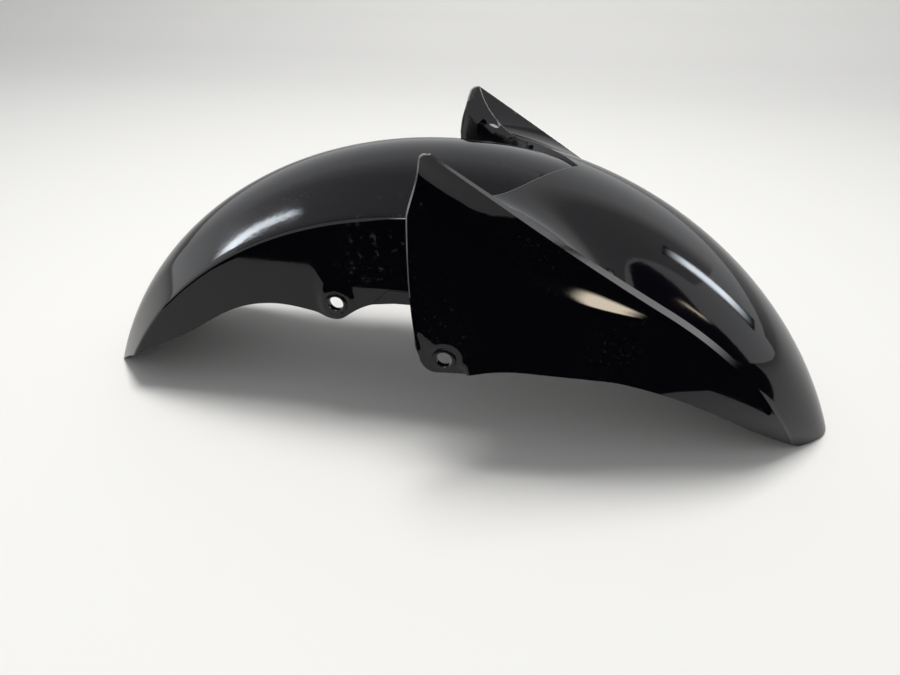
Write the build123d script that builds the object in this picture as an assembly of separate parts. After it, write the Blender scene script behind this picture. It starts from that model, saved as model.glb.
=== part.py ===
from build123d import *
import os
from math import cos, radians, sin, sqrt, tan

# Driving sizes in millimetres; angles are degrees about the wheel axis, zero at the top, plus is forward
WALL = 3.0
WHEEL_DROP = 119.0
CROWN_R = 325.0

# Rear arch section
CROWN_SECTION_R = 75.0
FLANK_DEG = 34.0
ARCH_HALF = 72.0
SHOULDER_R = 6.0
ARCH_BACK = -73.0
ARCH_FRONT = 20.0

# Front body: raised cap, straight ridge that turns onto a circle, fluted side panel with a crease
CAP_RISE = 1.8
CAP_SECTION_R = 130.0
FLARE_POWER = 5
RIDGE_HALF = 98.0
RIDGE_R = 296.7
RIDGE_TURN = 32.5
NOSE_DEG = 76.0
BAND = 3.2
CREASE_R = 274.5
CREASE_TURN = 16.0
FLUTE_TOP = -0.32
FLUTE_FOOT = 0.34
SKIRT_FLARE = 0.15
SKIRT_R = 185.0
STATIONS = (-7.0, 0.0, 8.0, 17.0, 28.0, 40.0, 52.0, 62.0, 73.0)

# Step wall between the arch and the cap, seen from above
STEP_X = 97.0
STEP_WALL = 4.2

# Fin at the back of the ridge, measured down from the ridge
FIN_TOP = 5.6
FIN_HIP = 10.1
FIN_HEEL = 45.8

# Bolt holes and their pads, places seen from the side
HOLE_D = 11.0
PAD_R = 13.0
RIM_R = 8.5
RIM_RISE = 1.0
REAR_HOLE = (-67.7, 103.0)
REAR_PAD_Y = 75.0
FRONT_HOLE = (19.0, 89.0)
FRONT_PAD_Y = 109.0
FORK_GAP_TOP = 108.0

os.makedirs("parts", exist_ok=True)
WHEEL_AXIS = Axis((0, 0, -WHEEL_DROP), (0, 1, 0))


def at(angle, y, r):
    """Point at a wheel angle, a side distance and a radius."""
    a = radians(angle)
    return (r * sin(a), y, r * cos(a) - WHEEL_DROP)


# Rear arch
def arch_face(inset):
    """Arch section in the plane above the wheel axis, with rounded shoulders on the outside."""
    a = radians(FLANK_DEG)
    radius = CROWN_SECTION_R - inset
    half = ARCH_HALF - inset
    centre = CROWN_R - CROWN_SECTION_R - WHEEL_DROP
    py, pz = radius * sin(a), centre + radius * cos(a)
    qz = pz - (half - py) * tan(a)
    low = SKIRT_R - WHEEL_DROP
    crown = ThreePointArc((-py, pz), (0, centre + radius), (py, pz))
    side = Polyline((py, pz), (half, qz), (half, low), (-half, low), (-half, qz), (-py, pz))
    face = make_face([crown, side])
    if inset > 0:
        return face
    corners = [v for v in face.vertices() if abs(abs(v.X) - half) < 0.01 and abs(v.Y - qz) < 0.01]
    return fillet(corners, SHOULDER_R)


def arch_solid(inset, start, end):
    """Arch section turned about the wheel axis."""
    section = (Plane.YZ * arch_face(inset)).rotate(WHEEL_AXIS, start)
    return revolve(section, axis=WHEEL_AXIS, revolution_arc=end - start)


# Front body sections
def ridge_half(angle):
    return RIDGE_HALF * sqrt(1 - (max(angle, 0) / NOSE_DEG) ** 2)


def ridge_r(angle):
    return RIDGE_R / cos(radians(min(angle - RIDGE_TURN, 0)))


def cap_r(angle, y):
    """Radius of the cap: a flat crown that sweeps up, or down, to the ridge."""
    half = ridge_half(angle)
    top = CROWN_R + CAP_RISE
    sweep = ridge_r(angle) - top + half**2 / (2 * CAP_SECTION_R)
    return top - y**2 / (2 * CAP_SECTION_R) + sweep * abs(y / half) ** FLARE_POWER


def cap_slope(angle, y):
    return (cap_r(angle, y + 0.01) - cap_r(angle, y - 0.01)) / 0.02


def panel(angle, inset):
    """Ridge foot, flute, crease and skirt points of the side panel."""
    ahead = max(angle, 0) / NOSE_DEG
    band = BAND * (0.3 + 2.8 * ahead * (1 - ahead))
    foot_y = ridge_half(angle) + band
    foot_r = ridge_r(angle) - band
    bend = 0.125 if angle < CREASE_TURN else 0.08
    crease_r = min(CREASE_R + bend * (angle - CREASE_TURN) ** 2, foot_r - 3)
    depth = foot_r - crease_r
    lean = FLUTE_TOP * max(0, 1 - ahead * 2.6)
    flute = (foot_y + lean * depth / 2, foot_r - depth / 2)
    crease_y = foot_y + (lean + FLUTE_FOOT * min(1, depth / 12)) * depth / 2
    skirt_y = crease_y + SKIRT_FLARE * (1 - ahead / 2) * (crease_r - SKIRT_R)
    corners = [(foot_y, foot_r), flute, (crease_y, crease_r), (skirt_y, SKIRT_R)]
    return [(y - inset, r) for y, r in corners]


def panel_edges(angle, side, foot, flute, crease, skirt):
    """One side panel in a section: fluted upper part and plain skirt."""
    upper = Bezier(*[at(angle, side * y, r) for y, r in (foot, flute, crease)])
    lower = Line(at(angle, side * crease[0], crease[1]), at(angle, side * skirt[0], skirt[1]))
    return upper, lower


def section_edges(angle, cap_points, corners):
    """Closed section: cap, both ridge bands, both panels and the bottom."""
    foot, skirt = corners[0], corners[-1]
    top = Spline(*[at(angle, y, r) for y, r in cap_points])
    left, right = cap_points[0], cap_points[-1]
    band_l = Line(at(angle, *left), at(angle, -foot[0], foot[1]))
    band_r = Line(at(angle, *right), at(angle, *foot))
    upper_l, lower_l = panel_edges(angle, -1, *corners)
    upper_r, lower_r = panel_edges(angle, 1, *corners)
    bottom = Line(at(angle, -skirt[0], skirt[1]), at(angle, *skirt))
    return Wire([top, band_r, upper_r, lower_r, bottom, lower_l, upper_l, band_l])


def body_section(angle, inset):
    """Front body section, drawn smaller by the wall for the inside."""
    corners = panel(angle, inset)
    half = ridge_half(angle) - inset
    points = []
    for t in (-1, -0.86, -0.65, -0.35, 0, 0.35, 0.65, 0.86, 1):
        y = t * half
        drop = inset * sqrt(1 + cap_slope(angle, y) ** 2)
        points.append((y, cap_r(angle, y) - drop))
    corners[0] = (corners[0][0], min(corners[0][1], points[0][1] - 0.8))
    return section_edges(angle, points, corners)


def gap_section(angle):
    """Everything inside the panel wall, up past the ridge, for the open space behind the step wall."""
    corners = panel(angle, WALL)
    foot, skirt = corners[0], corners[-1]
    up = ridge_r(angle) + 40
    side_r = Line(at(angle, foot[0], up), at(angle, *foot))
    side_l = Line(at(angle, -foot[0], up), at(angle, -foot[0], foot[1]))
    upper_l, lower_l = panel_edges(angle, -1, *corners)
    upper_r, lower_r = panel_edges(angle, 1, *corners)
    bottom = Line(at(angle, -skirt[0], skirt[1]), at(angle, *skirt))
    top = Line(at(angle, -foot[0], up), at(angle, foot[0], up))
    return Wire([top, side_r, upper_r, lower_r, bottom, lower_l, upper_l, side_l])


body_outer = Solid.make_loft([body_section(a, 0) for a in STATIONS])
body_inner = Solid.make_loft([body_section(a, WALL) for a in STATIONS])
open_gap = Solid.make_loft([gap_section(a) for a in STATIONS[:5]])

# Region ahead of the step wall, seen from above
def ahead_of(shift):
    """Everything ahead of the step line moved forward by a shift."""
    near = [(2 + shift, -120), (8 + shift, -100), (28 + shift, -84), (62 + shift, -48)]
    far = [(x, -y) for x, y in reversed(near)]
    step_line = Spline(*near, (STEP_X + shift, 0), *far)
    box = Polyline(far[-1], (far[-1][0], 200), (400, 200), (400, -200), (near[0][0], -200), near[0])
    return Pos(0, 0, -150) * extrude(make_face([step_line, box]), 500)


ahead = ahead_of(0)
ahead_inner = ahead_of(STEP_WALL)

# Hollow the front body
tyre_space = arch_solid(WALL, ARCH_BACK, 40)
front = body_outer - (body_inner & ahead_inner)
front = front - (open_gap - ahead)
front = front - tyre_space

# Thin arch, ended at the step wall
arch = arch_solid(0, ARCH_BACK, ARCH_FRONT) - arch_solid(WALL, ARCH_BACK, ARCH_FRONT)
arch = arch - ahead_inner


# Side outline of the front body: nose on the floor, lower edge, rounded pad corner, fin
def slab(outline, start, depth):
    """Side outline made solid from a side distance outward."""
    return Pos(0, start + depth, 0) * extrude(Plane.XZ * make_face(outline), depth)


ridge_top = ridge_r(0) - WHEEL_DROP
lower_front = Spline((278, 0), (242, 21.5), (194, 51.6), (131, 77.2), (80, 84.3), (52, 83.4), (35, 77.5))
pad_edge = Line((35, 77.5), (13, 77.5))
pad_corner = ThreePointArc((13, 77.5), (5.6, 80.7), (2.6, 88.5))
trailing = Spline((2.6, 88.5), (-1, 110), (-3.7, 131), (-6, 163), (-6.8, ridge_top - FIN_HEEL))
fin_back = Line((-6.8, ridge_top - FIN_HEEL), (0.8, ridge_top - FIN_HIP))
fin_tip = ThreePointArc((0.8, ridge_top - FIN_HIP), (3.4, ridge_top - FIN_TOP - 1), (8.6, ridge_top - FIN_TOP))
above = Polyline((8.6, ridge_top - FIN_TOP), (9, 300), (330, 300), (330, 0), (278, 0))
front_side = [lower_front, pad_edge, pad_corner, trailing, fin_back, fin_tip, above]
front = front & slab(front_side, -150, 300)

# Side outline of the arch: tail on the floor, lower edge, bolt tab
lower_rear = Spline((-291, 0), (-250.4, 31), (-194, 61.2), (-146.7, 89.4), (-112, 95.8), (-80, 91))
tab = ThreePointArc((-80, 91), (-68, 89), (-58, 95))
recess_edge = Spline((-58, 95), (-43, 103.5), (-24, 107), (60, 108))
over = Polyline((60, 108), (150, 108), (150, 300), (-330, 300), (-330, 0), (-291, 0))
rear_side = [lower_rear, tab, recess_edge, over]
arch = arch & slab(rear_side, -150, 300)

# Bolt tab boss on the side wall, with a ledge ahead of it
def post(place, start, end, low_r, high_r):
    """Round post along the side direction at a place seen from the side."""
    stand = Location((place[0], (start + end) / 2, place[1]), (-90, 0, 0))
    return stand * Cone(low_r, high_r, end - start)


def ring(place, face_y):
    """Raised rim around a hole on a flat pad."""
    middle = face_y + RIM_RISE / 2 - 0.5
    return Location((place[0], middle, place[1]), (90, 0, 0)) * Cylinder(RIM_R, RIM_RISE + 1)


def drill(place):
    """Bolt hole cutter through one side."""
    return Location((place[0], 100, place[1]), (90, 0, 0)) * Cylinder(HOLE_D / 2, 120)


def both(shape):
    """A shape and its mirror image on the other side."""
    return shape + mirror(shape, about=Plane.XZ)


ledge_side = Polyline((-29, 117), (60, 118), (60, 100), (-47, 100), (-29, 117))
ledge = (slab([ledge_side], ARCH_HALF - 1, 3) & slab(rear_side, 0, 150)) - ahead
boss = post(REAR_HOLE, ARCH_HALF - WALL, REAR_PAD_Y, PAD_R + 5, PAD_R - 1) & slab(rear_side, 0, 150)
rim = ring(REAR_HOLE, REAR_PAD_Y)
rear_extra = ledge + boss + rim

# Flat bolt pad sunk into the lower corner of the side panel
hx, hz = FRONT_HOLE
pad_arc = ThreePointArc((hx - 8, hz + 10.2), (hx + 8, hz + 10.2), (hx + PAD_R, hz))
pad_line = Polyline((hx + PAD_R, hz), (hx + 15, 70), (-12, 70), (-12, 118), (hx - 8, hz + 10.2))
pad_face = make_face([pad_arc, pad_line])
pad_block = Pos(0, 150, 0) * extrude(Plane.XZ * offset(pad_face, 2.5), 150 - FRONT_PAD_Y + WALL)
pad_block = pad_block & body_outer & slab(front_side, 0, 150)
pad_cut = Pos(0, 150, 0) * extrude(Plane.XZ * pad_face, 150 - FRONT_PAD_Y)
pad_rim = ring(FRONT_HOLE, FRONT_PAD_Y)

# Space for the fork lug under the step wall
lug_gap = Pos(0, FRONT_PAD_Y - WALL - 40, FORK_GAP_TOP - 30) * Box(80, 80, 60)

# Join, cut and drill both sides
front = front - both(lug_gap)
mudguard = front + arch + both(pad_block)
mudguard = mudguard - both(pad_cut)
mudguard = mudguard + both(pad_rim) + both(rear_extra)
mudguard = mudguard - both(drill(REAR_HOLE)) - both(drill(FRONT_HOLE))

# Origin at the middle of the footprint, on the floor
box = mudguard.bounding_box()
mudguard = Pos(-box.center().X, 0, 0) * mudguard
export_step(mudguard, "parts/mudguard.step")
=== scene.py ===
import math
import bmesh
import bpy
import numpy as np
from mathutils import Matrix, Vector


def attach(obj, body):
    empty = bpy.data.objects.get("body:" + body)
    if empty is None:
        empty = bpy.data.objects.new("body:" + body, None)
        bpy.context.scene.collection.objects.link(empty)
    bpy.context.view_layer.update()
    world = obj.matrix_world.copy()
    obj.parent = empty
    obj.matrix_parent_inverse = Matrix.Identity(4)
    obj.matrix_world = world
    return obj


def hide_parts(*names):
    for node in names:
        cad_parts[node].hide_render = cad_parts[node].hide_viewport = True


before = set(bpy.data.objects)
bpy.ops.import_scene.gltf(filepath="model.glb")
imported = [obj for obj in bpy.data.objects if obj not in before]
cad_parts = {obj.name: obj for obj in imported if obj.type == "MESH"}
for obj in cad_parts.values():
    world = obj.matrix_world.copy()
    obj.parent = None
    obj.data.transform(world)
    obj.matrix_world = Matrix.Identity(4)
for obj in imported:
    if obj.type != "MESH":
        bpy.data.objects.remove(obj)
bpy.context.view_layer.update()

# Sizes in millimetres, angles in degrees about the wheel axis, zero at the top and plus towards the nose
MIDDLE_X = 1.055
WHEEL_DROP = 119.0
WALL = 3.0
EDGE_BREAK = 1.1
EDGE_BREAK_DEG = 55.0
SHARP_DEG = 35.0
RIM_LIFT = 1.15

CROWN_R = 325.0
CROWN_SECTION_R = 75.0
FLANK_DEG = 34.0
ARCH_HALF = 72.0
SHOULDER_R = 4.0
WALL_END_R = 175.0
ARCH_UNDER_CAP = 4.2

CAP_TOP = 326.8
CAP_SECTION_R = 130.0
CAP_SWEEP_POWER = 5
RIDGE_HALF = 98.0
RIDGE_R = 296.7
RIDGE_TURN = 32.5
NOSE_DEG = 76.0
BAND = 3.2
BAND_LEAST = 0.3
BAND_SWELL = 2.8
BAND_CLOSING = 0.8
CREASE_R = 274.5
CREASE_DEG = 16.0
CREASE_SOFT = 2.0
CREASE_BEND_AT_FIN = 0.125
CREASE_BEND_AHEAD = 0.045
LEAST_FLUTE = 3.0
FLUTE_DEEP = 5.0
FLUTE_TALL = 50.0
FLUTE_KICK = 0.34
FLUTE_KICK_MORE = 0.2
FULL_KICK_DEPTH = 9.0
FIN_LEAN = -0.32
FIN_LEAN_FADE = 2.6
SKIRT_FLARE = 0.15

HOLE_R = 5.5
REAR_HOLE = (-67.7, 103.0)
REAR_PAD_Y = 75.0
REAR_CLEAR = 8.6
BOSS_R = 15.5
BOSS_SLOPE = 4.0
LOW_STEP_BACK = -86.0
LOW_STEP_TOP = 137.0
FRONT_HOLE = (19.0, 89.0)
FRONT_PAD_Y = 109.0
FRONT_CLEAR = 7.8
PAD_R = 10.0
PAD_DISH = 1.6
PAD_DISH_R = 42.0
PAD_SLOPE_CORNER = (4.0, 107.0)
PAD_SLOPE_LINE = (0.67, 0.74)
PAD_SLOPE_WIDE = 12.0
PAD_FRONT = 12.0
PAD_FRONT_LEAN = 0.35
PAD_SOFT = 4.0
FORK_GAP_TOP = 108.0
LEDGE_Y = 72.4
LEDGE_THICK = 2.5


# Curves seen from the side or from above
def curve_through(points, count=400):
    """Smooth curve through a few points, as evenly spaced samples of its own parameter."""
    knots = np.array(points, float)
    step = np.linalg.norm(np.diff(knots, axis=0), axis=1)
    at = np.concatenate([[0], np.cumsum(step)])
    n = len(knots)
    rows = np.eye(n)
    right = np.zeros_like(knots)
    for i in range(1, n - 1):
        rows[i, i - 1:i + 2] = step[i - 1], 2 * (step[i - 1] + step[i]), step[i]
        right[i] = 6 * ((knots[i + 1] - knots[i]) / step[i] - (knots[i] - knots[i - 1]) / step[i - 1])
    bend = np.linalg.solve(rows, right)
    s = np.linspace(0, at[-1], count)
    k = np.clip(np.searchsorted(at, s, side="right") - 1, 0, n - 2)
    h, a, b = step[k][:, None], (at[k + 1] - s)[:, None], (s - at[k])[:, None]
    bent = (bend[k] * a**3 + bend[k + 1] * b**3) / (6 * h)
    return bent + (knots[k] / h - bend[k] * h / 6) * a + (knots[k + 1] / h - bend[k + 1] * h / 6) * b


def arc_about(centre, radius, start, end, count=24):
    """Arc seen from the side, angles in degrees from the forward direction."""
    turn = np.radians(np.linspace(start, end, count))
    return np.stack([centre[0] + radius * np.cos(turn), centre[1] + radius * np.sin(turn)], 1)


def run_along(curve):
    """Length of a curve up to each of its points."""
    return np.concatenate([[0], np.cumsum(np.linalg.norm(np.diff(curve, axis=0), axis=1))])


def spaced(curve, parts):
    """Points of a curve at given shares of its length."""
    run = run_along(curve)
    want = np.asarray(parts) * run[-1]
    return np.stack([np.interp(want, run, curve[:, 0]), np.interp(want, run, curve[:, 1])], 1)


def solve(miss, low, high):
    """Where a falling amount crosses zero, for whole arrays."""
    low, high = np.array(low, float), np.array(high, float)
    for _ in range(48):
        middle = (low + high) / 2
        above = miss(middle) > 0
        low, high = np.where(above, middle, low), np.where(above, high, middle)
    return (low + high) / 2


def smooth(amount):
    """Soft step from 0 to 1."""
    amount = np.clip(amount, 0, 1)
    return amount * amount * (3 - 2 * amount)


lower_front = curve_through([(34.5, 79.2), (52, 83.4), (80, 84.3), (131, 77.2),
                             (194, 51.6), (242, 21.5), (278, 0)])
lower_rear = curve_through([(-291, 0), (-250.4, 31), (-194, 61.2), (-146.7, 89.4), (-112, 95.8), (-80, 91)])
tab_edge = curve_through([(-80, 91), (-68, 89), (-58, 95)], 40)
recess_edge = curve_through([(-58, 95), (-43, 103.5), (-24, 107), (60, 108)], 200)
trailing = curve_through([(2.6, 88.5), (-1, 110), (-3.7, 131), (-6, 163), (-6.8, 187)], 200)
fin_back = np.array([(-6.8, 187), (0.8, 222.7), (1.7, 224.6), (3.4, 226.1), (5.8, 226.9), (8.6, 227.2)])
back_edge = np.concatenate([trailing[:-1], fin_back])
step_line = curve_through([(97, 0), (62, 48), (28, 84), (8.6, 98), (-2, 112)])


def lower_edge_z(x):
    return np.maximum(RIM_LIFT, np.interp(x, lower_front[:, 0], lower_front[:, 1]))


def back_edge_x(z):
    return np.interp(z, back_edge[:, 1], back_edge[:, 0])


def step_x(y):
    return np.interp(y, step_line[:, 1], step_line[:, 0])


def side_place(angle, r):
    """Forward and up distances of an angle and radius."""
    a = np.radians(angle)
    return r * np.sin(a), r * np.cos(a) - WHEEL_DROP


def about_wheel(x, z):
    """Angle and radius of a place seen from the side."""
    return np.degrees(np.arctan2(x, z + WHEEL_DROP)), np.hypot(x, z + WHEEL_DROP)


def both_sides(half):
    """Columns of points for one side, with the other side put before them."""
    return np.concatenate([half[:, :0:-1] * np.array([1, -1, 1]), half], 1)


# Front body shape
def ridge_half(angle):
    return RIDGE_HALF * np.sqrt(1 - (np.maximum(angle, 0) / NOSE_DEG) ** 2)


def ridge_r(angle):
    """Radius of the ridge, which is straight seen from the side as far as its turn."""
    return RIDGE_R / np.cos(np.radians(np.minimum(angle - RIDGE_TURN, 0)))


def cap_r(angle, y):
    """Radius of the cap: a flat crown that sweeps up, or down, to the ridge."""
    half = ridge_half(angle)
    sweep = ridge_r(angle) - CAP_TOP + half**2 / (2 * CAP_SECTION_R)
    return CAP_TOP - y**2 / (2 * CAP_SECTION_R) + sweep * np.abs(y / half) ** CAP_SWEEP_POWER


def ridge_band(angle):
    """Width of the narrow band below the ridge: widest half way, almost closed at the nose."""
    ahead = np.maximum(angle, 0) / NOSE_DEG
    swell = BAND_LEAST + BAND_SWELL * ahead * (1 - ahead)
    closing = 1 - BAND_CLOSING * smooth((ahead - 0.72) / 0.16)
    return BAND * swell * closing


def foot_r(angle):
    return ridge_r(angle) - ridge_band(angle)


def panel_y(angle, r):
    """Side distance of the panel at an angle and radius: a flute, a softened crease and a flared skirt."""
    ahead = np.maximum(angle, 0) / NOSE_DEG
    top = foot_r(angle)
    bend = np.where(angle < CREASE_DEG, CREASE_BEND_AT_FIN, CREASE_BEND_AHEAD)
    crease = np.minimum(CREASE_R + bend * (angle - CREASE_DEG) ** 2, top - LEAST_FLUTE)
    depth = top - crease
    lean = FIN_LEAN * np.maximum(0, 1 - ahead * FIN_LEAN_FADE)
    kick = FLUTE_KICK + FLUTE_KICK_MORE * smooth((angle - CREASE_DEG) / 12)
    kick = kick * np.minimum(1, depth / FULL_KICK_DEPTH)
    flare = SKIRT_FLARE * (1 - ahead / 2)
    down = top - r
    foot_y = ridge_half(angle) + ridge_band(angle)
    upper = foot_y + lean * down + (kick - lean) * down**2 / (2 * depth)
    lower = foot_y + (lean + kick) * depth / 2 + flare * (down - depth)
    near_crease = np.maximum(CREASE_SOFT - np.abs(down - depth), 0)
    soften = np.maximum(kick - flare, 0) * near_crease**2 / (4 * CREASE_SOFT)
    at_fin = np.clip(1 - np.maximum(angle, 0) / CREASE_DEG, 0, 1) ** 2
    dip = FLUTE_DEEP * at_fin * np.sin(np.pi * np.clip(down / FLUTE_TALL, 0, 1)) ** 2
    return np.where(down < depth, upper, lower) - soften - dip


def pad_sink(x, y, z):
    """The flat bolt pad sunk into the lower corner of the side panel, in a shallow dish."""
    hole_x, hole_z = FRONT_HOLE
    away = np.hypot(x - hole_x - 0.5, z - hole_z)
    y = y - PAD_DISH * smooth(1 - away / PAD_DISH_R)
    disc = smooth(0.5 - (away - PAD_R) / 3)
    corner_x, corner_z = PAD_SLOPE_CORNER
    past_slope = (x - corner_x) * PAD_SLOPE_LINE[0] + (z - corner_z) * PAD_SLOPE_LINE[1]
    slope = 1 - np.clip(1 + past_slope / PAD_SLOPE_WIDE, 0, 1) ** 2 * smooth((z - hole_z + 7) / 6)
    right_limit = hole_x + PAD_FRONT + (hole_z - z) * PAD_FRONT_LEAN
    right = smooth(0.5 - (x - right_limit) / PAD_SOFT)
    from_edge = smooth((x + 0.5 - back_edge_x(z)) / PAD_SOFT)
    left = 1 - (1 - from_edge) * smooth((z - 80) / 20)
    return y + (FRONT_PAD_Y - y) * (1 - (1 - disc) * (1 - slope * right * left))


# Front sheet: lower edge, panel, ridge band, cap and the same on the other side
FRONT_COLUMNS = 108
FINE_COLUMNS = 24
FINE_SHARE = 0.12
# Width share of the back-edge column that gets the painted edge highlight
HIGHLIGHT_EDGE_SHARE = 0.0024
PANEL_ROWS = 52
UPPER_PANEL_ROWS = 36
UPPER_PANEL_SHARE = 0.80
# Panel rows below each ridge foot whose back edge gets the painted edge highlight
HIGHLIGHT_PANEL_ROWS = 29
BAND_ROWS = 2
CAP_ROWS = 60
CAP_CROWDING = 0.6
RIDGE_ROW = PANEL_ROWS + BAND_ROWS
FIN_ANGLES = (-3, 3)
STEP_ANGLES = (-4, 28)
NOSE_ANGLES = (50, 71)
FIN_THIN_TO_X = 150
FIN_THIN_FADE = 60
FIN_THIN_MOST = 0.95
FIN_THIN_WIDE = 13
front_u = np.concatenate([[0], np.linspace(HIGHLIGHT_EDGE_SHARE, FINE_SHARE, FINE_COLUMNS),
                          np.linspace(FINE_SHARE, 1, FRONT_COLUMNS - FINE_COLUMNS + 1)[1:]])
panel_v = np.concatenate([np.linspace(0, UPPER_PANEL_SHARE, UPPER_PANEL_ROWS + 1),
                          np.linspace(UPPER_PANEL_SHARE, 1, PANEL_ROWS - UPPER_PANEL_ROWS + 1)[1:]])


def cap_rows():
    """Half of the cap, from the middle to the ridge, as rows of points."""
    count = CAP_ROWS // 2 + 1
    t = np.sin(np.linspace(0, math.pi / 2, count)) * CAP_CROWDING + np.linspace(0, 1 - CAP_CROWDING, count)

    def place(angle):
        y = t * ridge_half(angle)
        x, z = side_place(angle, cap_r(angle, y))
        return x, y, z

    def behind_step(angle):
        x, y, z = place(angle)
        return step_x(y) - x

    def above_edge(angle):
        x, y, z = place(angle)
        return z - lower_edge_z(x)

    back = solve(behind_step, *STEP_ANGLES)
    front = solve(above_edge, *NOSE_ANGLES)
    return np.stack(place(back + front_u[:, None] * (front - back)), 2)


def panel_rows():
    """One side panel, from the ridge foot to the lower edge, as rows of points."""
    def ahead_of_back(angle):
        x, z = side_place(angle, foot_r(angle))
        return back_edge_x(z) - x

    def above_edge(angle):
        x, z = side_place(angle, foot_r(angle))
        return z - lower_edge_z(x)

    start = solve(ahead_of_back, *FIN_ANGLES)
    end = solve(above_edge, *NOSE_ANGLES)
    foot_angle = start + front_u * (end - start)
    foot = np.stack(side_place(foot_angle, foot_r(foot_angle)), 1)
    corner = arc_about((13.4, 88.3), 10.8, 180, 270)
    half_way = len(corner) // 2
    below = back_edge[back_edge[:, 1] < foot[0, 1]]
    back = np.concatenate([foot[:1], below[::-1], corner[1:half_way + 1]])
    nose = lower_front[lower_front[:, 0] < foot[-1, 0]]
    bottom = np.concatenate([corner[half_way:], nose, foot[-1:]])
    back, bottom = spaced(back, panel_v), spaced(bottom, front_u)
    v, u = panel_v[None, :, None], front_u[:, None, None]
    flat = (1 - v) * foot[:, None] + v * bottom[:, None]
    flat = flat + (1 - u) ** 2 * (back[None] - (1 - v) * back[:1][None] - v * back[-1:][None])
    x, z = flat[..., 0], flat[..., 1]
    y = panel_y(*about_wheel(x, z))
    return np.stack([x, pad_sink(x, y, z), z], 2)


def front_net():
    """Columns of points across the whole front sheet."""
    cap, panel = cap_rows(), panel_rows()
    share = np.linspace(0, 1, BAND_ROWS + 1)[1:-1, None]
    band = cap[:, -1:] * (1 - share) + panel[:, :1] * share
    return both_sides(np.concatenate([cap, band, panel], 1))


def front_thickness(front):
    """Share of the full wall at each point of the front sheet: thin along the ridge of each fin."""
    share = np.ones(front.shape[:2])
    for row in (RIDGE_ROW, RIDGE_ROW + CAP_ROWS):
        ridge = front[:, row:row + 1]
        from_ridge = np.linalg.norm(front - ridge, axis=2)
        fin = smooth((FIN_THIN_TO_X - ridge[..., 0]) / FIN_THIN_FADE)
        thinner = fin * np.clip(FIN_THIN_MOST - from_ridge / FIN_THIN_WIDE, 0, 1)
        share = np.minimum(share, 1 - thinner)
    return share


# Rear sheet: crown, flanks, rounded shoulders and side walls
ARCH_COLUMNS = 132
CROWN_ROWS = 22
SHOULDER_ROWS = 5
SIDE_ROWS = 26
SHOULDER_ROOM = 4
LIFT_FADE = 2


def arch_section():
    """Half section of the arch: run along it, side distance and radius, then the shoulder's start and end."""
    a = math.radians(FLANK_DEG)
    bend = np.linspace(0, a, 200)
    crown = np.stack([CROWN_SECTION_R * np.sin(bend), CROWN_R - CROWN_SECTION_R * (1 - np.cos(bend))], 1)
    corner_r = crown[-1, 1] - (ARCH_HALF - crown[-1, 0]) * math.tan(a)
    set_back = SHOULDER_R * math.tan((math.pi / 2 - a) / 2)
    middle = (ARCH_HALF - SHOULDER_R, corner_r - set_back)
    shoulder = arc_about(middle, SHOULDER_R, 90 - FLANK_DEG, 0, 40)
    wall = np.array([(ARCH_HALF, WALL_END_R)])
    line = np.concatenate([crown, shoulder, wall])
    run = run_along(line)
    return run, line[:, 0], line[:, 1], run[len(crown)], run[len(crown) + len(shoulder) - 1]


arch_run, arch_side, arch_r, SHOULDER_START, SHOULDER_END = arch_section()


def wall_lift(x, z):
    """How far the bolt boss and the low step that carries it stand out of the side wall."""
    boss = smooth((BOSS_R - np.hypot(x - REAR_HOLE[0], z - REAR_HOLE[1])) / BOSS_SLOPE)
    low_step = smooth((x - LOW_STEP_BACK) / 10) * smooth((LOW_STEP_TOP - z) / 21)
    return (REAR_PAD_Y - ARCH_HALF) * (boss / 3 + low_step * 2 / 3)


def arch_net():
    """Columns of points across the whole rear sheet."""
    edge = np.concatenate([lower_rear[:-1], tab_edge[:-1], recess_edge])
    edge_angle, edge_r = about_wheel(edge[:, 0], edge[:, 1])
    edge_run = np.interp(-edge_r, -arch_r, arch_run)
    crown = np.concatenate([np.linspace(0, SHOULDER_START, CROWN_ROWS + 1),
                            np.linspace(SHOULDER_START, SHOULDER_END, SHOULDER_ROWS + 1)[1:]])
    share = np.linspace(0, 1, SIDE_ROWS + 1)[1:]

    def rows_at(end):
        """Rows drawn together where the lower edge cuts into the shoulder or the crown."""
        keep = np.minimum(1, end / (SHOULDER_END + SHOULDER_ROOM))
        on_crown = crown * keep[:, :len(crown)]
        last = SHOULDER_END * keep[:, len(crown):]
        return np.concatenate([on_crown, last + share * (end[:, len(crown):] - last)], 1)

    count = len(crown) + len(share)
    tail_run = rows_at(np.full((1, count), edge_run[0]))[0]
    tail = -np.degrees(np.arccos((WHEEL_DROP + RIM_LIFT) / np.interp(tail_run, arch_run, arch_r)))
    full = np.concatenate([crown, np.full(len(share), SHOULDER_END + 1)])
    stop = step_x(np.interp(full, arch_run, arch_side)) + ARCH_UNDER_CAP
    front = np.degrees(np.arcsin(stop / np.interp(full, arch_run, arch_r)))
    u = np.linspace(0, 1, ARCH_COLUMNS + 1)[:, None]
    angle = tail + u * (front - tail)
    along = rows_at(np.interp(angle, edge_angle, edge_run))
    y = np.interp(along, arch_run, arch_side)
    x, z = side_place(angle, np.interp(along, arch_run, arch_r))
    on_wall = smooth((along - SHOULDER_END) / LIFT_FADE)
    return both_sides(np.stack([x, y + on_wall * wall_lift(x, z), z], 2))


# Step wall between the two sheets
WALL_STEPS = 10
FIN_WALL_Y = 66
FIN_WALL_IN = 3.3
FIN_WALL_AHEAD = 0.8
FIN_WALL_THINNER = 0.75
FIN_WALL_THIN_FROM = 60
FIN_WALL_THIN_FADE = 20
STEP_LEAN = 0.8
STEP_LEAN_TO = 62
STEP_LEAN_FADE = 16


def arch_top_z(x, y):
    """Height of the middle of the arch wall under the step wall."""
    r = np.interp(abs(y), arch_side[:-1], arch_r[:-1]) - WALL / 2
    return math.sqrt(r * r - x * x) - WHEEL_DROP


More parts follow.
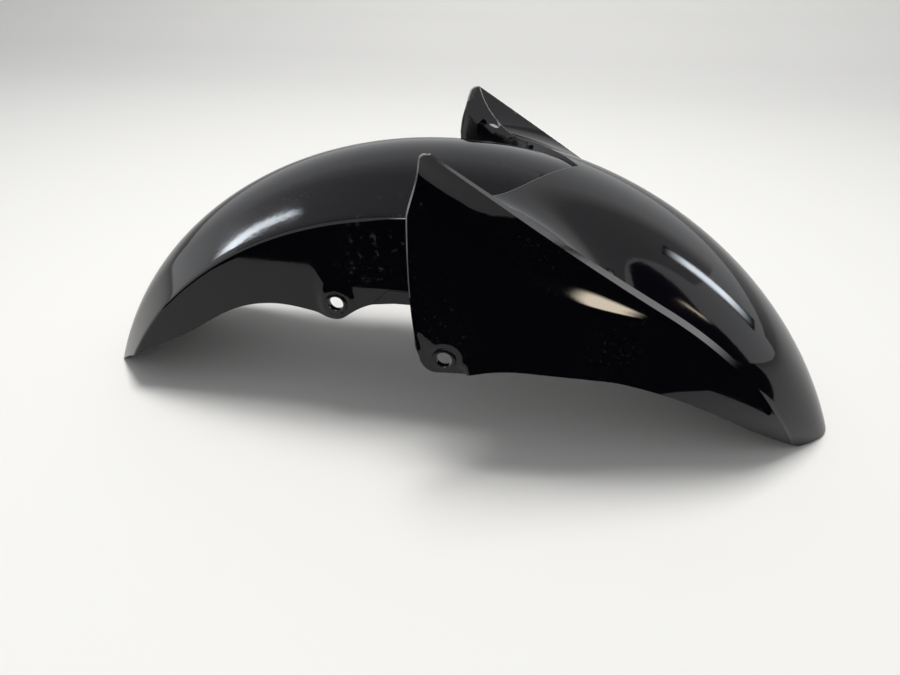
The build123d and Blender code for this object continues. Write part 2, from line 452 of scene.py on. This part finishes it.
def step_wall_net(front):
    """Wall from the back edge of the cap down to the arch, closing each fin, and its thickness share."""
    top = front[0, RIDGE_ROW:RIDGE_ROW + CAP_ROWS + 1]
    tip_x, tip_y = top[-1, 0], top[-1, 1]
    net = np.zeros((len(top), WALL_STEPS + 1, 3))
    for i, (x, y, z) in enumerate(top):
        low = arch_top_z(x, y) if abs(y) < ARCH_HALF - 1 else FORK_GAP_TOP
        outer = smooth((abs(y) - FIN_WALL_Y) / (tip_y - FIN_WALL_Y))
        set_back = STEP_LEAN * (z - low) * smooth((STEP_LEAN_TO - abs(y)) / STEP_LEAN_FADE)
        low = low if set_back == 0 else arch_top_z(x - set_back, y)
        for j in range(WALL_STEPS + 1):
            up = z + (low - z) * j / WALL_STEPS
            edge_x = back_edge_x(up) + FIN_WALL_AHEAD
            edge_y = panel_y(*about_wheel(edge_x, up)) - FIN_WALL_IN
            blend = outer * min(1, j)
            across = x - set_back * j / WALL_STEPS + blend * (edge_x - tip_x)
            net[i, j] = across, y + blend * math.copysign(1, y) * (edge_y - tip_y), up
    at_fin = smooth((np.abs(top[:, 1]) - FIN_WALL_THIN_FROM) / FIN_WALL_THIN_FADE)
    share = 1 - FIN_WALL_THINNER * at_fin
    return net, np.repeat(share[:, None], WALL_STEPS + 1, 1)


# Sheets made from grids, in metres
UNDERSIDE_SLOT = 1
# Slot of the painted edge highlight
EDGE_SLOT = 2
CRISP_TO_X = 0.225


def metres(x, y, z):
    return Vector(((x - MIDDLE_X) / 1000, y / 1000, z / 1000))


def new_verts(made):
    """The vertices among what a bmesh operator made."""
    return [g for g in made["geom"] if isinstance(g, bmesh.types.BMVert)]


def lay_grid(bm, net, share=None, crisp_rows=(), highlight_rows=()):
    """A grid laid onto columns of points, with shares of the full wall, crisp rows and a back edge given the
    painted edge highlight.
    """
    columns, rows = net.shape[0] - 1, net.shape[1] - 1
    layer = bm.verts.layers.deform.verify()
    row_of, at_back = {}, set()
    for v in bmesh.ops.create_grid(bm, x_segments=columns, y_segments=rows, size=1)["verts"]:
        i, j = round((v.co.x + 1) / 2 * columns), round((v.co.y + 1) / 2 * rows)
        row_of[v] = j
        if i < 2:
            at_back.add(v)
        v.co = metres(*net[i, j])
        v[layer][0] = 1 if share is None else share[i, j]
    for v in row_of:
        for e in v.link_edges:
            if row_of[v] in crisp_rows and row_of[e.other_vert(v)] == row_of[v] and v.co.x < CRISP_TO_X:
                e.smooth = False
        # Faces along the back edge of the chosen rows get the painted edge highlight
        for f in v.link_faces:
            if all(w in at_back and row_of[w] in highlight_rows for w in f.verts):
                f.material_index = EDGE_SLOT


def face_out(bm):
    """Normals made consistent, with the top of the sheet facing up."""
    bmesh.ops.recalc_face_normals(bm, faces=bm.faces)
    top = max(bm.faces, key=lambda f: f.calc_center_median().z * abs(f.normal.z))
    if top.normal.z < 0:
        bmesh.ops.reverse_faces(bm, faces=bm.faces)


def open_hole(bm, place, face_y, clear):
    """Round bolt hole opened in a flat pad, on both sides."""
    layer = bm.verts.layers.deform.verify()
    for side in (-1, 1):
        centre = metres(place[0], side * face_y, place[1])
        near = []
        for f in bm.faces:
            away = f.calc_center_median() - centre
            if abs(away.y) < 2 * WALL / 1000 and math.hypot(away.x, away.z) < clear / 1000:
                near.append(f)
        loop = [e for f in near for e in f.edges if sum(g in near for g in e.link_faces) == 1]
        bmesh.ops.delete(bm, geom=near, context="FACES")
        for v in new_verts(bmesh.ops.extrude_edge_only(bm, edges=loop)):
            spoke = Vector((v.co.x - centre.x, 0, v.co.z - centre.z))
            v.co = centre + spoke.normalized() * (HOLE_R / 1000)
            v[layer][0] = 1


def to_object(bm, name, materials, rounded=True):
    """Object made from a finished bmesh, smooth or flat shaded."""
    for f in bm.faces:
        f.smooth = rounded
    mesh = bpy.data.meshes.new(name)
    bm.to_mesh(mesh)
    bm.free()
    for material in materials:
        mesh.materials.append(material)
    obj = bpy.data.objects.new(name, mesh)
    bpy.context.scene.collection.objects.link(obj)
    return obj


def as_shell(piece):
    """Piece put on the root body, with the mudguard's CAD part hidden."""
    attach(piece, "root")
    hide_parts("mudguard")


def finish_sheet(bm, name):
    """Sheet given its wall thickness and softly broken edges, which carry the painted edge highlight."""
    sheet = to_object(bm, name, (paint, underside, edge_highlight_paint))
    wall = sheet.modifiers.new("wall", "SOLIDIFY")
    wall.vertex_group = sheet.vertex_groups.new(name="thickness").name
    wall.thickness = WALL / 1000
    wall.offset = -1
    wall.material_offset = UNDERSIDE_SLOT
    edges = sheet.modifiers.new("broken_edges", "BEVEL")
    edges.width = EDGE_BREAK / 1000
    edges.segments = 2
    edges.limit_method = "ANGLE"
    edges.angle_limit = math.radians(EDGE_BREAK_DEG)
    edges.harden_normals = True
    # Broken edges take the painted edge highlight
    edges.material = EDGE_SLOT
    as_shell(sheet)


# Finishes, with places in metres
DUSTY_PLACE = (-0.03, 0.060, 0.145)


class Finish:
    """A new material, with short ways to add nodes and join them."""

    def __init__(self, name):
        self.material = bpy.data.materials.new(name)
        self.material.use_nodes = True
        self.nodes = self.material.node_tree.nodes
        self.links = self.material.node_tree.links
        self.shader = self.nodes["Principled BSDF"]

    def put(self, node, inputs):
        """Numbers and other nodes' outputs put into a node's inputs."""
        for socket, value in inputs.items():
            if isinstance(value, bpy.types.NodeSocket):
                self.links.new(value, node.inputs[socket])
            else:
                node.inputs[socket].default_value = value

    def add(self, kind, inputs, **settings):
        """A node with its settings and inputs, as its outputs."""
        node = self.nodes.new("ShaderNode" + kind)
        for name, value in settings.items():
            setattr(node, name, value)
        self.put(node, inputs)
        return node.outputs

    def place(self, kind="Object"):
        return self.add("TexCoord", {})[kind]

    def parts(self, kind="Object"):
        split = self.add("SeparateXYZ", {"Vector": self.place(kind)})
        return split["X"], split["Y"], split["Z"]

    def noise(self, scale, detail=2, rough=0.5):
        inputs = {"Vector": self.place(), "Scale": scale, "Detail": detail, "Roughness": rough}
        return self.add("TexNoise", inputs)["Fac"]

    def ranged(self, value, low, high, to_low, to_high, how="LINEAR"):
        inputs = {"Value": value, "From Min": low, "From Max": high, "To Min": to_low, "To Max": to_high}
        return self.add("MapRange", inputs, interpolation_type=how)["Result"]

    def combined(self, how, a, b=0):
        return self.add("Math", {0: a, 1: b}, operation=how)["Value"]

    def mixed(self, share, a, b):
        return self.add("Mix", {"Factor": share, "A": (*a, 1), "B": (*b, 1)}, data_type="RGBA")["Result"]

    def bumped(self, height, strength):
        return self.add("Bump", {"Height": height, "Strength": strength, "Distance": 0.0003})["Normal"]


def gloss_paint():
    """Black lacquer with a faint ripple, uneven gloss, dust specks and a dusty patch behind each fin."""
    finish = Finish("gloss_black_paint")
    x, y, z = finish.parts()
    folded = finish.add("CombineXYZ", {"X": x, "Y": finish.combined("ABSOLUTE", y), "Z": z})["Vector"]
    from_patch = finish.add("VectorMath", {0: folded, 1: DUSTY_PLACE}, operation="DISTANCE")["Value"]
    patch = finish.ranged(from_patch, 0.015, 0.042, 1, 0)
    smudge = finish.combined("MULTIPLY", patch, finish.ranged(finish.noise(170, 5, 0.65), 0.56, 0.82, 0, 1))
    speck = finish.ranged(finish.noise(1500, 0), 0.80, 0.84, 0, 1)
    specks = finish.combined("MULTIPLY", speck, finish.ranged(finish.noise(14, 2), 0.45, 0.65, 0, 1))
    dust = finish.combined("MAXIMUM", smudge, specks)
    gloss = finish.ranged(finish.noise(30, 3), 0.3, 0.7, 0.035, 0.075)
    finish.put(finish.shader, {
        "IOR": 1.48,
        "Base Color": finish.mixed(dust, (0.0022, 0.002, 0.0034), (0.10, 0.10, 0.095)),
        "Roughness": finish.combined("ADD", gloss, finish.ranged(dust, 0, 1, 0, 0.35)),
        "Normal": finish.bumped(finish.noise(260, 1), 0.025)})
    return finish.material


def moulded_black():
    """Unpainted plastic of the inside, with a fine grain."""
    finish = Finish("moulded_black_underside")
    grain = finish.noise(900)
    finish.put(finish.shader, {
        "Base Color": (0.012, 0.012, 0.012, 1),
        "Roughness": finish.ranged(grain, 0, 1, 0.35, 0.6),
        "Normal": finish.bumped(grain, 0.2)})
    return finish.material


def edge_highlight_finish():
    """Painted edge highlight: a light grey base colour in patches, strongest high up on the fins."""
    finish = Finish("painted_edge_highlight")
    x, y, z = finish.parts()
    high_up = finish.ranged(z, 0.14, 0.22, 0.22, 1)
    on_fin = finish.ranged(finish.combined("ABSOLUTE", y), 0.075, 0.09, 0.1, 1)
    # Where the painted edge highlight is lightest
    highlight_patches = finish.combined("MULTIPLY", finish.combined("MULTIPLY", finish.noise(70), high_up), on_fin)
    finish.put(finish.shader, {
        "Base Color": finish.mixed(highlight_patches, (0.04, 0.04, 0.04), (0.6, 0.6, 0.58)),
        "Roughness": 0.3})
    return finish.material


def white_paper():
    """Matt paper that looks greyer in the gloss than it does to the camera."""
    finish = Finish("white_paper")
    in_gloss = finish.add("LightPath", {})["Is Glossy Ray"]
    finish.put(finish.shader, {
        "Base Color": finish.mixed(in_gloss, (0.82, 0.815, 0.80), (0.53, 0.525, 0.52)),
        "Roughness": 0.9})
    return finish.material


paint = gloss_paint()
underside = moulded_black()
edge_highlight_paint = edge_highlight_finish()

front = front_net()
far_ridge_row = RIDGE_ROW + CAP_ROWS
ridge_edges = (PANEL_ROWS, RIDGE_ROW, far_ridge_row, far_ridge_row + BAND_ROWS)
# Rows whose back edge gets the painted edge highlight
highlight_rows = range(PANEL_ROWS - HIGHLIGHT_PANEL_ROWS, far_ridge_row + BAND_ROWS + HIGHLIGHT_PANEL_ROWS + 1)
front_bm = bmesh.new()
lay_grid(front_bm, front, front_thickness(front), ridge_edges, highlight_rows)
lay_grid(front_bm, *step_wall_net(front))
bmesh.ops.remove_doubles(front_bm, verts=front_bm.verts, dist=1e-6)
open_hole(front_bm, FRONT_HOLE, FRONT_PAD_Y, FRONT_CLEAR)
face_out(front_bm)
finish_sheet(front_bm, "front_body")

arch_bm = bmesh.new()
lay_grid(arch_bm, arch_net())
open_hole(arch_bm, REAR_HOLE, REAR_PAD_Y, REAR_CLEAR)
face_out(arch_bm)
finish_sheet(arch_bm, "rear_arch")


# Raised rims around the holes and the ledges above the fork space
def finish_solid(bm, name, rounded):
    """Small solid piece, turned and smooth or flat and crisp."""
    bmesh.ops.recalc_face_normals(bm, faces=bm.faces)
    piece = to_object(bm, name, (paint,), rounded)
    piece.data.set_sharp_from_angle(angle=math.radians(SHARP_DEG))
    as_shell(piece)


def hole_rim(name, place, face_y, side):
    """Low rounded rim turned about a bolt hole."""
    bm = bmesh.new()
    profile = [(HOLE_R, -0.8), (HOLE_R, 0.7), (HOLE_R + 0.4, 1.0), (7.4, 1.0), (7.9, 0.8),
               (8.2, 0.3), (8.5, -0.3), (8.5, -0.8)]
    points = [bm.verts.new(metres(place[0] + r, side * (face_y + up), place[1])) for r, up in profile]
    loop = [bm.edges.new((a, b)) for a, b in zip(points, points[1:] + points[:1])]
    bmesh.ops.spin(bm, geom=points + loop, cent=metres(place[0], 0, place[1]), axis=(0, 1, 0),
                   angle=2 * math.pi, steps=48, use_merge=True)
    finish_solid(bm, name, True)


def ledge(name, side):
    """Flat ledge on the side wall, over the fork space."""
    bm = bmesh.new()
    outline = [(-29, 117), (8, 117.4), (8, 108), (-24, 107.3), (-40, 105)]
    face = bm.faces.new([bm.verts.new(metres(x, side * LEDGE_Y, z)) for x, z in outline])
    raised = new_verts(bmesh.ops.extrude_face_region(bm, geom=[face]))
    bmesh.ops.translate(bm, verts=raised, vec=(0, side * LEDGE_THICK / 1000, 0))
    finish_solid(bm, name, False)


for side, hand in ((1, "left"), (-1, "right")):
    hole_rim("front_hole_rim_" + hand, FRONT_HOLE, FRONT_PAD_Y, side)
    hole_rim("rear_hole_rim_" + hand, REAR_HOLE, REAR_PAD_Y, side)
    ledge("fork_ledge_" + hand, side)


# Floor and backdrop, lamp, cards seen in the gloss, room and camera, in metres
PAPER_FRONT = -0.34
PAPER_SIDE = 4
PAPER_PROFILE = [(1.2, 0), (1.45, 0.03), (1.62, 0.12), (1.75, 0.3)]


def paper_sweep():
    """Paper lying flat under the part and curving up behind it."""
    bm = bmesh.new()
    bm.edges.new([bm.verts.new((side * PAPER_SIDE, PAPER_FRONT, 0)) for side in (-1, 1)])
    last = list(bm.edges)
    for y, z in PAPER_PROFILE:
        made = bmesh.ops.extrude_edge_only(bm, edges=last)
        last = [g for g in made["geom"] if isinstance(g, bmesh.types.BMEdge)]
        for v in new_verts(made):
            v.co.y, v.co.z = y, z
    to_object(bm, "paper_sweep", (white_paper(),))


def lamp(name, place, aim, size, power, colour):
    """Square lamp that the gloss doesn't show."""
    data = bpy.data.lights.new(name, "AREA")
    data.shape = "RECTANGLE"
    data.size = data.size_y = size
    data.energy = power
    data.color = colour
    obj = bpy.data.objects.new(name, data)
    obj.location = place
    obj.rotation_euler = (Vector(aim) - Vector(place)).to_track_quat("-Z", "Y").to_euler()
    obj.visible_glossy = False
    bpy.context.scene.collection.objects.link(obj)


def card(name, corners, colour, strength=1, soft=0, ramp=None, least=0):
    """Flat card seen only in the gloss: dark, or bright with soft edges, or fading across."""
    bm = bmesh.new()
    face = bm.faces.new([bm.verts.new(c) for c in corners])
    layer = bm.loops.layers.uv.new("UVMap")
    for corner, uv in zip(face.loops, ((0, 0), (1, 0), (1, 1), (0, 1))):
        corner[layer].uv = uv
    finish = Finish(name)
    if soft:
        fade = []
        for across, start, full in zip(finish.parts("UV"), ramp or (0, 0), (strength, 1)):
            if ramp:
                fade.append(finish.ranged(across, 0, soft, start, full))
            else:
                from_edge = finish.combined("PINGPONG", across, 0.5)
                fade.append(finish.ranged(from_edge, 0, soft, start, full, "SMOOTHSTEP"))
        strength = finish.combined("MAXIMUM", finish.combined("MULTIPLY", *fade), least)
    finish.put(finish.shader, {"Base Color": (0, 0, 0, 1), "Specular IOR Level": 0,
                               "Emission Color": (*colour, 1), "Emission Strength": strength})
    obj = to_object(bm, name, (finish.material,), False)
    obj.visible_camera = obj.visible_diffuse = obj.visible_shadow = False
    obj.visible_transmission = obj.visible_volume_scatter = False


def upright(x, places):
    """Corners on an upright plane at one forward distance."""
    return [(x, y, z) for y, z in places]


def facing(y, places):
    """Corners on an upright plane at one side distance."""
    return [(x, y, z) for x, z in places]


def level(z, places):
    """Corners on a level plane."""
    return [(x, y, z) for x, y in places]


DARK = (0.004, 0.004, 0.006)
WHITE = (1, 1, 1)
COOL = (0.86, 0.93, 1.0)
WARM = (1.0, 0.87, 0.68)
ROOM = (0.42, 0.425, 0.43)
MORE_IN_GLOSS = 1.0

paper_sweep()
lamp("soft_overhead", (-0.1, 0.16, 2.0), (0, 0.05, 0), size=0.7, power=33, colour=(1, 0.99, 0.97))

floor_edge = [(4, 0), (0.9, -0.05), (0.45, -0.075), (0.27, -0.085), (0.258, -0.11), (0.245, -0.135),
              (0.22, -0.145), (0.18, -0.155), (0.14, -0.2), (0.1, -0.24), (0.06, -0.27), (0, -0.3),
              (-0.05, -0.325), (-0.11, -0.325), (-0.13, -0.31), (-4, -0.31)]
room_top = [(1.6, 0.6), (0.97, 0.65), (0.9, 1.25), (0.6, 1.15), (0, 0.72), (-0.5, 0.62)]
room_right = [(-1.3, 0), (-0.1, 0), (0.125, 0.71), (0.57, 1.45), (0.5, 1.8), (-1.3, 1.8)]
card("dark_floor_front", level(0.002, [(-4, -4), (4, -4)] + floor_edge), DARK)
card("dark_room_front", facing(-1.3, [(-0.5, 0), (1.6, 0)] + room_top), DARK)
card("pale_ceiling", level(2.6, [(0.7, -1.3), (-6, -1.3), (-6, 1.6), (0.7, 1.6)]),
     (0.97, 0.98, 1), strength=0.92, soft=1, ramp=(0.92, 0.05))
card("bright_ceiling_front", level(2.5, [(0.85, -1.4), (-0.9, -1.4), (-0.9, -0.7), (0.85, -0.7)]),
     WHITE, strength=5, soft=0.12)
card("grey_corner", facing(1.85, [(-0.1, 3.4), (2.9, 5.4), (5.2, 2.8), (2.2, 0.8)]),
     WHITE, strength=0.4, soft=0.2, ramp=(0.85, 1))
card("dark_room_right", upright(1.6, room_right), DARK)
card("pale_strip_right", upright(1.55, [(-0.12, 0.02), (-0.40, 0.02), (-1.26, 2.1), (-0.98, 2.1)]),
     WHITE, strength=4, soft=0.2)
card("pale_strip_right_high", upright(1.56, [(-0.58, 1.2), (-0.86, 1.2), (-0.88, 2.72), (-0.61, 2.72)]),
     WHITE, strength=3, soft=0.2, least=0.84)
card("bright_strip_right", upright(1.58, [(0.47, 0.28), (0.70, 0.28), (1.02, 1.28), (0.79, 1.28)]),
     COOL, strength=11, soft=0.35)
card("bright_strip_left", upright(-2.5, [(0.436, 0.62), (0.498, 0.62), (0.284, 2.5), (0.244, 2.5)]),
     COOL, strength=14, soft=0.25, least=0.7)
card("bright_window_front", facing(-1.28, [(-0.56, 0.8), (-0.36, 0.8), (-0.36, 2.2), (-0.56, 2.2)]),
     COOL, strength=12, soft=0.15, least=0.7)
card("warm_lamp", facing(-1.25, [(0.36, 0.0), (0.98, 0.0), (0.98, 0.55), (0.36, 0.55)]),
     WARM, strength=16, soft=0.28)
card("warm_strip_right", upright(1.57, [(0.03, 0.52), (0.06, 0.52), (0.165, 0.96), (0.135, 0.96)]),
     WARM, strength=9, soft=0.4)

world = bpy.data.worlds.new("room")
bpy.context.scene.world = world
world.use_nodes = True
room_nodes, room_links = world.node_tree.nodes, world.node_tree.links
room_nodes["Background"].inputs["Color"].default_value = (*ROOM, 1)
path = room_nodes.new("ShaderNodeLightPath")
in_gloss = room_nodes.new("ShaderNodeMath")
in_gloss.operation = "ADD"
in_gloss.inputs[1].default_value = MORE_IN_GLOSS
room_links.new(path.outputs["Is Glossy Ray"], in_gloss.inputs[0])
room_links.new(in_gloss.outputs["Value"], room_nodes["Background"].inputs["Strength"])

camera_data = bpy.data.cameras.new("camera")
camera_data.sensor_width = 36
camera_data.lens = 26.0
camera_data.shift_y = -0.0939
camera_data.clip_start = 0.01
camera = bpy.data.objects.new("camera", camera_data)
camera.location = (0.0897, -0.4607, 0.3428)
camera.rotation_euler = Vector((-0.170, 0.8826, -0.438)).to_track_quat("-Z", "Y").to_euler()
bpy.context.scene.collection.objects.link(camera)
bpy.context.scene.camera = camera
bpy.context.scene.view_settings.view_transform = "Standard"
